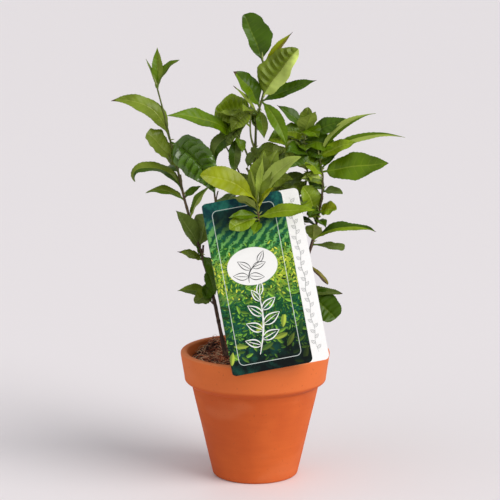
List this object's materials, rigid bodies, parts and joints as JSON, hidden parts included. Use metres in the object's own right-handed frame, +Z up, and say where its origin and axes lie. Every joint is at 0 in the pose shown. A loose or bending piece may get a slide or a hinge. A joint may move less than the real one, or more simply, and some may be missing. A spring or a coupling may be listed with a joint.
{
  "type": "potted tea bush",
  "caption": "Young tea bush with upright woody stems and glossy toothed leaves, growing in a tapered clay pot with a folded card hung on its front shoot.",
  "frame": {"origin": "centre of the flat underside of the pot", "axes": "+Z up along the pot's axis, +X to the plant's right seen from its front, -Y towards the front, where the card hangs"},
  "size_m": [0.247, 0.1631, 0.3992],
  "materials": {
    "clay": "matt unglazed fired clay with paler smudges",
    "soil": "rough moist fibrous compost",
    "card": "satin printed card with a plain leaf design",
    "bark": "dull brown bark, greener towards the tips",
    "shoot": "smooth young green stem",
    "leaf": "glossy leaf with sunken veins and a paler underside"
  },
  "bodies": {
    "root": {"pot": "clay", "soil": "soil", "hang_card": "card", "left_stem": "bark", "middle_stem": "bark", "centre_stem": "bark", "right_stem": "bark", "inner_stem": "bark", "back_stem": "bark", "front_bough": "shoot", "left_bough": "shoot", "centre_shoot": "shoot", "left_tip_leaves": "leaf", "left_shoulder_leaves": "leaf", "left_arch_leaves": "leaf", "left_pair_leaves": "leaf", "left_low_leaves": "leaf", "top_leaves": "leaf", "right_tip_leaves": "leaf", "front_shoot_leaves": "leaf", "left_branch_leaves": "leaf", "centre_leaves": "leaf", "right_crown_leaves": "leaf", "inner_fan_leaves": "leaf", "middle_fan_leaves": "leaf", "right_side_leaves": "leaf", "right_wing_leaves": "leaf", "right_low_leaves": "leaf", "back_left_leaves": "leaf", "back_crown_leaves": "leaf", "back_low_leaves": "leaf"}
  },
  "joints": []
}
